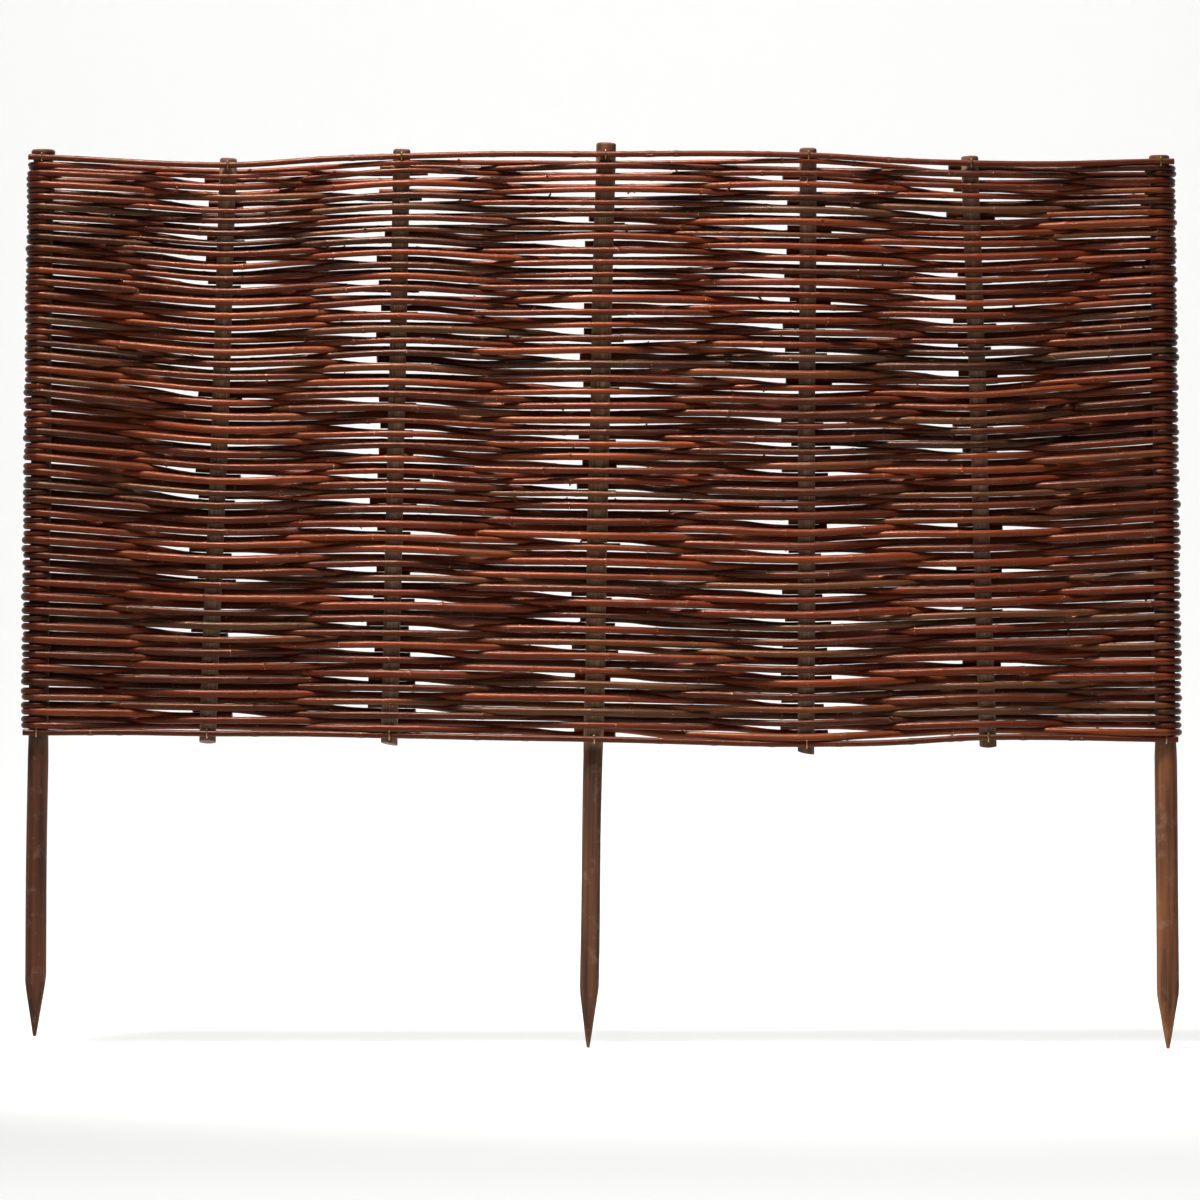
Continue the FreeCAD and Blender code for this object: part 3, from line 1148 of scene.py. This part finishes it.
    def wrap(self, course: int, position: int, radius: float, height: float) -> np.ndarray:
        """Turn of a rod's end round an end stake.

        Args:
            course: Number of the course.
            position: The first or the last upright.
            radius: Half the rod's thickness.
            height: Height of the rod where the turn starts.

        Returns:
            Points from the start of the turn to the cut end.
        """
        stake = self.uprights[position]
        outward = -1 if position == 0 else 1
        side = self.face(course, position)
        past = self.chance.uniform(*self.wrap_past) if side is Face.BACK else 0.0
        angle = np.radians(np.arange(self.wrap_step, 180 + past, self.wrap_step))
        climb = self.chance.uniform(-self.climb, self.climb)
        reach = stake.radius + radius * np.linspace(*self.bend_flat, len(angle)) + self.rod_fit
        x = outward * reach * np.sin(angle)
        y = side.value * reach * np.cos(angle)
        if side is Face.FRONT:
            x = np.append(x, -outward * np.linspace(6, self.chance.uniform(*self.tail), 3))
            y = np.append(y, np.full(3, -side.value * reach[-1]))
        z = height + climb * np.linspace(0, 1, len(x))
        return np.stack([stake.x_at(height) + x, y, z], axis=1)

    def knots_between(self, start: float, finish: float) -> np.ndarray:
        """Places of the bud rings along a rod."""
        gaps = self.chance.uniform(*self.bud_spacing, int((finish - start) / 40) + 2)
        places = start + self.chance.uniform(5, 60) + np.cumsum(gaps)
        return places[places < finish - 4]

    def line(self, course: int, length: Length) -> RodLine:
        """Centre line of one length, with its tucked or wrapped ends.

        Args:
            course: Number of the course.
            length: The length of willow.

        Returns:
            The line.
        """
        last = len(self.uprights) - 1
        level = float(self.heights[course].mean())
        posts = np.array([upright.x_at(level) for upright in self.uprights])
        reaches = []
        for position, upright in enumerate(self.uprights):
            reach = upright.radius + self.radius(course, position) + self.rod_fit
            reaches.append(self.face(course, position).value * reach)
        reaches = np.array(reaches)
        stations = np.interp(np.arange(2 * last + 1) / 2, range(last + 1), posts)
        start = posts[length.start] - (self.chance.uniform(*self.tuck) if length.start > 0 else 0)
        finish = posts[length.finish] + (self.chance.uniform(*self.tuck) if length.finish < last else 0)
        knots = self.knots_between(start, finish)
        ring = self.bud_ring
        even = np.linspace(start, finish, int((finish - start) / self.step) + 2)
        x = np.unique(np.concatenate([even, knots - ring, knots, knots + ring]))
        bay = np.clip(np.searchsorted(posts, x) - 1, 0, last - 1)
        share = np.clip((x - posts[bay]) / (posts[bay + 1] - posts[bay]), 0, 1)
        share = share + self.crossings[course, bay] * np.sin(math.pi * share)
        swing = share**2 * (3 - 2 * share)
        y = reaches[bay] * (1 - swing) + reaches[bay + 1] * swing
        z = smooth_through(stations, self.heights[course], x)
        for waves in (3.0, 7.0):
            z += self.wander / waves * 3 * np.sin(waves * x / 190 + self.chance.uniform(0, 6.28))
        mid = (posts[length.start] + posts[length.finish]) / 2
        span = posts[length.finish] - posts[length.start]
        radii = length.radius * (1 + length.taper * (x - mid) / span)
        for end, way in ((length.start, 1), (length.finish, -1)):
            if 0 < end < last:
                z += way * length.radius * np.exp(-(((x - posts[end]) / self.tuck_span) ** 4))
        bud = np.zeros(len(x))
        for knot in knots:
            bud = np.maximum(bud, np.exp(-(((x - knot) / ring) ** 2)))
        radii = radii + bud * self.chance.uniform(*self.bud_swell)
        points = np.stack([x, y, z], axis=1)
        self.grow_snags(points, radii, bud, length.tone)
        # the turns round the end stakes carry bend_painted_shade as their knot value: painted shade on their
        # bark
        if length.start == 0:
            turn = self.wrap(course, 0, radii[0], z[0])[::-1]
            points = np.concatenate([turn, points])
            radii = np.concatenate([radii[0] * np.linspace(*self.bend_flat, len(turn))[::-1], radii])
            bud = np.concatenate([np.full(len(turn), self.bend_painted_shade), bud])
        if length.finish == last:
            turn = self.wrap(course, last, radii[-1], z[-1])
            points = np.concatenate([points, turn])
            radii = np.concatenate([radii, radii[-1] * np.linspace(*self.bend_flat, len(turn))])
            bud = np.concatenate([bud, np.full(len(turn), self.bend_painted_shade)])
        return RodLine(points, radii, length.tone, bud)

    def grow_snags(self, points: np.ndarray, radii: np.ndarray, bud: np.ndarray, tone: float) -> None:
        """Adds the stubs of trimmed side shoots at some of a rod's buds.

        Args:
            points: The rod's centre line.
            radii: Its radius at each point.
            bud: How far each point is within a bud ring.
            tone: The rod's tone.
        """
        for at in np.flatnonzero(bud > 0.999):
            if self.chance.random() > self.snag_share:
                continue
            angle = self.chance.uniform(0, 2 * math.pi)
            away = np.array([0.0, math.cos(angle), math.sin(angle)])
            way = self.chance.choice([-1.0, 1.0])
            lean = np.array([way * self.chance.uniform(*self.snag_lean), 0.0, 0.0])
            reach = self.chance.uniform(*self.snag_reach)
            base = points[at] + away * (radii[at] - 0.8)
            tip = points[at] + away * (radii[at] + reach) + lean * reach
            thick = self.chance.uniform(*self.snag_radius)
            stub = np.stack([base, (base + tip) / 2, tip])
            self.snags.append(RodLine(stub, np.array([1.4, 1.1, 1.0]) * thick, tone, np.zeros(3)))

    def build(self, skin: RodSkin, bark: bpy.types.Material, cut: bpy.types.Material) -> None:
        """Makes the rods in four bundles, and their snags.

        Args:
            skin: The tree that lays the skins.
            bark: Finish of the rods.
            cut: Finish of their cut ends.
        """
        names = [f"{place}_weave_rods" for place in ("lowest", "lower", "upper", "highest")]
        bundles = {name: [] for name in names}
        for course, lengths in enumerate(self.rows):
            name = names[course * len(names) // self.courses]
            bundles[name] += [self.line(course, length) for length in lengths]
        for name, lines in bundles.items():
            fit(skin.piece(name, lines, self.sides, self.lumps, bark, cut), Slot.BARK, "willow_weave")
        fit(skin.piece("trimmed_side_shoots", self.snags, 6, 0.0, bark, cut), Slot.BARK, "willow_weave")


@dataclass
class Binding:
    """A rod stapled along the front of every upright.

    Args:
        name: The piece's name.
        node: The rod's CAD node.
        uprights: From the left to the right.
        heights: Height of the rod at each upright.
        radius: Half its thickness where it is stapled.
        tone: Place of its colour among the bark's shades.
    """

    name: str
    node: str
    uprights: list[Upright]
    heights: np.ndarray
    radius: float
    tone: float
    rod_fit: float = 0.3
    end: float = 14.0
    bow: float = 1.6
    step: float = 5.0

    def line(self) -> RodLine:
        """Centre line through the staples, bowed a little between them."""
        chance = np.random.default_rng(int(self.tone * 1000))
        posts = np.array([upright.x_at(height) for upright, height in zip(self.uprights, self.heights)])
        fronts = -np.array([upright.radius + self.radius + self.rod_fit for upright in self.uprights])
        x = np.arange(posts[0] - self.end, posts[-1] + self.end, self.step)
        y = np.interp(x, posts, fronts)
        z = smooth_through(posts, self.heights, x)
        bay = np.clip(np.searchsorted(posts, x) - 1, 0, len(posts) - 2)
        share = np.clip((x - posts[bay]) / (posts[bay + 1] - posts[bay]), 0, 1)
        bows = chance.uniform(-1, 1, len(posts)) * self.bow
        z = z + bows[bay] * np.sin(math.pi * share) ** 2
        bud = np.zeros(len(x))
        bud[chance.choice(len(x), 16, replace=False)] = 1.0
        return RodLine(np.stack([x, y, z], axis=1), self.radius * (1 + 0.12 * bud), self.tone, bud)

    def build(self, skin: RodSkin, bark: bpy.types.Material, cut: bpy.types.Material) -> None:
        """Makes the rod in place of its solid."""
        fit(skin.piece(self.name, [self.line()], 12, 0.35, bark, cut), Slot.BARK, self.node)


@dataclass
class StapleRow:
    """Bent wire staples, one over the binding rod at each upright.

    Args:
        name: The piece's name.
        node: The staples' CAD node.
        uprights: From the left to the right.
        heights: Height of the binding rod at each upright.
    """

    name: str
    node: str
    uprights: list[Upright]
    heights: np.ndarray
    wire: float = 0.65
    half_crown: float = 4.2
    corner: float = 1.1
    bite: float = 6.5

    def line(self, upright: Upright, height: float, front: float) -> RodLine:
        """Centre line of one staple.

        Args:
            upright: The upright that it is driven into.
            height: Height of the binding rod there.
            front: Y of the middle of its crown.

        Returns:
            The wire's line from the lower leg to the upper.
        """
        back = -upright.radius + self.bite
        bend = np.radians(np.linspace(0, 90, 5))
        turn_y = front + self.corner * (1 - np.sin(bend))
        turn_z = self.half_crown - self.corner * (1 - np.cos(bend))
        y = np.concatenate([[back], turn_y])
        z = np.concatenate([[self.half_crown], turn_z])
        y = np.concatenate([y, y[::-1]])
        z = np.concatenate([-z, z[::-1]])
        points = np.stack([np.full(len(y), upright.x_at(height)), y, height + z], axis=1)
        count = len(points)
        return RodLine(points, np.full(count, self.wire), 0.5, np.zeros(count))

    def build(self, skin: RodSkin, metal: bpy.types.Material) -> None:
        """Makes the row in place of its solids."""
        crowns = node_points(self.node)[:, 1].min() + self.wire
        lines = [self.line(upright, height, crowns) for upright, height in zip(self.uprights, self.heights)]
        fit(skin.piece(self.name, lines, 10, 0.0, metal, metal), Slot.STEEL, self.node)


def staple_heights(node: str, uprights: list[Upright]) -> np.ndarray:
    """Heights of a row of staples, read from its solids.

    Args:
        node: The staples' CAD node.
        uprights: From the left to the right.

    Returns:
        One height for each upright.
    """
    points = node_points(node)
    near = 12.0
    heights = []
    for upright in uprights:
        close = np.abs(points[:, 0] - upright.x_at(middle(points[:, 2]))) < near
        heights.append(middle(points[close, 2]))
    return np.array(heights)


@dataclass
class Studio:
    """Pale paper sweep, soft light and the camera.

    Args:
        floor: Height of the paper under the hurdle.
        wall: Y of the paper behind it.
    """

    floor: float
    wall: float = 1700.0
    sweep: float = 900.0
    half_width: float = 8500.0
    front: float = -8500.0
    top: float = 3200.0
    paper: str = "#b0b0ae"
    paper_light: str = "#ffffff"
    paper_glow: float = 0.62
    air_glow: float = 0.015
    view_middle: tuple[float, float] = (6.2, 150.0)
    view_width: float = 1244.0
    distance: float = 6000.0
    sensor: float = 36.0

    def build_paper(self) -> None:
        """Lays the paper: a floor that curves up behind the hurdle."""
        bend = np.radians(np.linspace(0, 90, 13))
        y = np.concatenate([[self.front], self.wall - self.sweep * (1 - np.sin(bend)), [self.wall]])
        z = np.concatenate([[self.floor], self.floor + self.sweep * (1 - np.cos(bend)), [self.top]])
        points = [(side * self.half_width, at, height) for at, height in zip(y, z) for side in (-1, 1)]
        faces = [(2 * row, 2 * row + 1, 2 * row + 3, 2 * row + 2) for row in range(len(y) - 1)]
        mesh = bpy.data.meshes.new("paper_sweep")
        mesh.from_pydata(np.array(points) * MM, [], faces)
        mesh.shade_smooth()
        paper = bpy.data.objects.new("paper_sweep", mesh)
        bpy.context.scene.collection.objects.link(paper)
        mesh.materials.append(self.paper_finish())

    def paper_finish(self) -> bpy.types.Material:
        """Matt paper that is clear from behind, so that the hurdle's back can be seen."""
        material, tree = blank_material("matt_paper")
        behind = add(tree, "ShaderNodeNewGeometry").outputs["Backfacing"]
        white = add(tree, "ShaderNodeBsdfDiffuse", {"Color": linear(self.paper)})
        shine = {"Color": linear(self.paper_light), "Strength": self.paper_glow}
        glow = add(tree, "ShaderNodeEmission", shine)
        lit = add(
            tree,
            "ShaderNodeAddShader",
            {"Shader": white.outputs["BSDF"], "Shader_001": glow.outputs["Emission"]},
        )
        clear = add(tree, "ShaderNodeBsdfTransparent")
        mixed = add(
            tree,
            "ShaderNodeMixShader",
            {"Fac": behind, "Shader": lit.outputs["Shader"], "Shader_001": clear.outputs["BSDF"]},
        )
        add(tree, "ShaderNodeOutputMaterial", {"Surface": mixed.outputs["Shader"]})
        return material

    def light(self, name: str, place: tuple, target: tuple, size: tuple, watts: float, spread: float) -> None:
        """Adds a soft rectangular light.

        Args:
            name: The light's name.
            place: Where it hangs.
            target: What it points at.
            size: Its width and height.
            watts: Its power.
            spread: Full angle of its beam in degrees.
        """
        lamp = bpy.data.lights.new(name, "AREA")
        lamp.shape = "RECTANGLE"
        lamp.size, lamp.size_y = size[0] * MM, size[1] * MM
        lamp.energy = watts
        lamp.spread = math.radians(spread)
        holder = bpy.data.objects.new(name, lamp)
        way = np.array(target) - np.array(place)
        holder.location = np.array(place) * MM
        holder.rotation_euler = Vector(way).to_track_quat("-Z", "Y").to_euler()
        bpy.context.scene.collection.objects.link(holder)

    def build_lights(self) -> None:
        """Hangs a narrow and a soft key light high above the front, and lights for the paper."""
        world = bpy.data.worlds.new("studio_air")
        world.use_nodes = True
        air = world.node_tree.nodes["Background"]
        air.inputs["Color"].default_value = linear("#ffffff")
        air.inputs["Strength"].default_value = self.air_glow
        bpy.context.scene.world = world
        weave = (0, 0, 300)
        wall = (0, 1500, 0)
        floor = (0, -2300, 0)
        self.light("key", (-550, -800, 2900), weave, size=(900, 300), watts=15.5, spread=44)
        self.light("soft_key", (-300, -1200, 2700), weave, size=(1900, 1300), watts=7, spread=70)
        self.light("wall_light", (0, 400, 2300), wall, size=(3000, 400), watts=18, spread=120)
        self.light("floor_light", (0, -2300, 2400), floor, size=(3400, 900), watts=22, spread=70)

    def build_camera(self) -> None:
        """Sets a long lens square to the front of the hurdle."""
        across, up = self.view_middle
        lens = bpy.data.cameras.new("front_camera")
        lens.sensor_width = self.sensor
        lens.lens = self.sensor * self.distance / self.view_width
        camera = bpy.data.objects.new("front_camera", lens)
        camera.location = (across * MM, -self.distance * MM, up * MM)
        camera.rotation_euler = (math.pi / 2, 0, 0)
        bpy.context.scene.collection.objects.link(camera)
        bpy.context.scene.camera = camera
        bpy.context.scene.view_settings.view_transform = "Standard"


def main() -> None:
    """Builds the hurdle and its studio."""
    logging.basicConfig(level=logging.INFO, format="%(name)s %(message)s")
    bark = WillowBark().material()
    # the sails' weave colours are lightened: painted light against the shade of the rods in front
    sail_bark = PoleBark(
        "grey_sail_bark", ("#2a1910", "#5f3d27"), ("#6a4e3d", "#c39f84"), weave_range=(15.0, 603.0)
    ).material()
    stake_finishes = {
        "stake_left": PoleBark("dark_stake_bark", ("#2c160a", "#5e341c"), ("#3a281d", "#7c5e43")),
        # the centre stake's weave colours are lightened too: painted light against the shade of the rods in
        # front
        "stake_centre": PoleBark("brown_stake_bark", ("#261309", "#5f3a22"), ("#6b5039", "#c4a07b")),
        "stake_right": PoleBark("tan_stake_bark", ("#381e0f", "#7a4a2a"), ("#33231a", "#6b5140")),
    }
    stake_barks = {node: finish.material() for node, finish in stake_finishes.items()}
    cut = CutWood().material()
    wire = StapleWire().material()
    uprights = [Upright.measured(node) for node in ACROSS]
    lower = staple_heights("bottom_staples", uprights)
    upper = staple_heights("top_staples", uprights)
    for number, upright in enumerate(uprights):
        pole = Pole(upright, tone=(number + 1) * 0.127)
        if upright.node == "stake_left":  # its head is splayed and domed
            pole.head_flare = 3.1
            pole.head_round = 4.2
        pole.build(stake_barks.get(upright.node, sail_bark), cut)
    skin = RodSkin()
    Weave(uprights, lower, upper).build(skin, bark, cut)
    top_rod = Binding("top_edge_rod", "top_binding_rod", uprights, upper, radius=3.1, tone=0.31)
    top_rod.build(skin, bark, cut)
    bottom_rod = Binding("bottom_edge_rod", "bottom_binding_rod", uprights, lower, radius=3.2, tone=0.21)
    bottom_rod.build(skin, bark, cut)
    StapleRow("top_staple_wires", "top_staples", uprights, upper).build(skin, wire)
    StapleRow("bottom_staple_wires", "bottom_staples", uprights, lower).build(skin, wire)
    studio = Studio(floor=CAD_BOX[0].z / MM)
    studio.build_paper()
    studio.build_lights()
    studio.build_camera()


if __name__ == "__main__":
    main()
